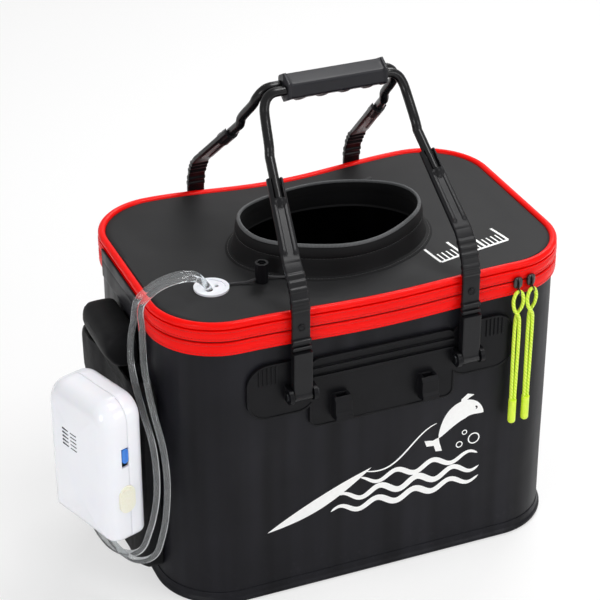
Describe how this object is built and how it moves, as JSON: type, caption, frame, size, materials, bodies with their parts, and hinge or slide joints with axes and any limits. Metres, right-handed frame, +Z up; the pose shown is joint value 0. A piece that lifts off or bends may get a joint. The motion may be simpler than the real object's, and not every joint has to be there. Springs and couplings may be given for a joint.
{
  "type": "aerated bait bucket",
  "caption": "Soft rectangular fishing bucket with a zipped lid and hand collar, two folding handles that meet in one grip, and a clip-on air pump whose hoses run through the lid.",
  "frame": {"origin": "on the ground under the middle of the bucket", "axes": "+X along the long side to the end away from the pump, -Y to the front with the zip pulls, +Z up"},
  "size_m": [0.4817, 0.286, 0.4695],
  "materials": {
    "eva_foam": "smooth welded EVA foam sheet, satin",
    "lid_foam": "matt EVA foam sheet, finely grained",
    "red_trim": "glossy welded PVC band",
    "zip_tape": "woven polyester zip tape",
    "collar_cloth": "coated cloth",
    "grey_binding": "woven edge binding",
    "webbing": "flat polyester webbing",
    "pocket_cloth": "padded coated cloth",
    "moulded_black": "moulded polypropylene, satin",
    "black_tube": "black coated steel tube",
    "white_abs": "glossy moulded ABS",
    "clear_hose": "translucent vinyl tube",
    "pull_yellow": "soft moulded PVC over cord",
    "drawcord": "braided elastic cord",
    "steel": "plain steel",
    "switch_blue": "glossy moulded plastic",
    "cream_rubber": "soft rubber",
    "stone": "sintered porous stone",
    "copper": "enamelled copper winding",
    "board": "printed circuit board",
    "battery": "sleeved cell",
    "black_rubber": "moulded rubber"
  },
  "bodies": {
    "bucket": {"bucket_shell": "eva_foam", "base_welt": "eva_foam", "bucket_band": "red_trim", "zip_tape_bucket": "zip_tape", "hinge_strip": "eva_foam", "front_plate": "moulded_black", "back_plate": "moulded_black", "front_pins": "steel", "back_pins": "steel", "pocket": "pocket_cloth", "pocket_top": "pocket_cloth", "pocket_loop": "webbing", "pump_front_case": "white_abs", "pump_back_case": "white_abs", "pump_screws": "steel", "pump_clip": "white_abs", "pump_nozzles": "white_abs", "pump_board": "board", "pump_motor": "copper", "pump_bellows": "black_rubber", "pump_battery": "battery", "socket_cover": "cream_rubber", "hose_left": "clear_hose", "hose_right": "clear_hose"},
    "lid": {"lid_sheet": "lid_foam", "lid_band": "red_trim", "lid_piping": "red_trim", "zip_tape_lid": "zip_tape", "hinge_flap": "eva_foam", "collar": "collar_cloth", "collar_binding": "grey_binding", "back_tab": "webbing", "drawcord": "drawcord", "cord_lock_barrel": "moulded_black", "cord_lock_spring": "steel", "hose_grommet": "white_abs", "grommet_nut": "white_abs", "inner_hose_left": "clear_hose", "inner_hose_right": "clear_hose", "air_stone_left": "stone", "air_stone_right": "stone"},
    "front_handle": {"front_strap_left": "moulded_black", "front_strap_right": "moulded_black", "front_rod": "black_tube", "front_grip_half": "moulded_black"},
    "back_handle": {"back_strap_left": "moulded_black", "back_strap_right": "moulded_black", "back_rod": "black_tube", "back_grip_half": "moulded_black"},
    "left_slider": {"zip_slider_left": "black_tube"},
    "right_slider": {"zip_slider_right": "black_tube"},
    "left_pull": {"pull_cord_left": "pull_yellow", "pull_end_left": "pull_yellow"},
    "right_pull": {"pull_cord_right": "pull_yellow", "pull_end_right": "pull_yellow"},
    "lock_button": {"cord_lock_button": "moulded_black"},
    "switch": {"pump_switch": "switch_blue"}
  },
  "joints": [
    {"name": "front_handle_swing", "type": "hinge", "parent": "bucket", "child": "front_handle", "pos_m": [0.001, -0.1355, 0.222], "axis": [1, 0, 0], "range_deg": [0, 150]},
    {"name": "back_handle_swing", "type": "hinge", "parent": "bucket", "child": "back_handle", "pos_m": [0.001, 0.1355, 0.222], "axis": [-1, 0, 0], "range_deg": [0, 150]},
    {"name": "lid_hinge", "type": "hinge", "parent": "bucket", "child": "lid", "pos_m": [-0.2021, 0, 0.2856], "axis": [0, -1, 0], "range_deg": [0, 90], "deforming": ["hose_left", "hose_right"]},
    {"name": "left_slider_run", "type": "slide", "parent": "bucket", "child": "left_slider", "axis": [-1, 0, 0], "range_m": [0, 0.028]},
    {"name": "right_slider_run", "type": "hinge", "parent": "bucket", "child": "right_slider", "pos_m": [0.135, -0.063, 0.2856], "axis": [0, 0, 1], "range_deg": [0, 75]},
    {"name": "left_pull_swing", "type": "hinge", "parent": "left_slider", "child": "left_pull", "pos_m": [0.133, -0.1334, 0.2775], "axis": [-1, 0, 0], "range_deg": [0, 75]},
    {"name": "right_pull_swing", "type": "hinge", "parent": "right_slider", "child": "right_pull", "pos_m": [0.14722, -0.13233, 0.2775], "axis": [-0.9848, -0.1736, 0], "range_deg": [0, 75]},
    {"name": "lock_press", "type": "slide", "parent": "lid", "child": "lock_button", "axis": [0, 0, -1], "range_m": [0, 0.0025], "stiffness_N_per_m": 300, "springref_m": -0.002, "deforming": ["cord_lock_spring"]},
    {"name": "switch_slide", "type": "slide", "parent": "bucket", "child": "switch", "axis": [0, 0, -1], "range_m": [0, 0.004]}
  ],
  "couplings": [
    {"joint": "back_handle_swing", "follows": "front_handle_swing", "ratio": 1},
    {"joint": "lid_hinge", "follows": "front_handle_swing", "ratio": 0.6}
  ]
}
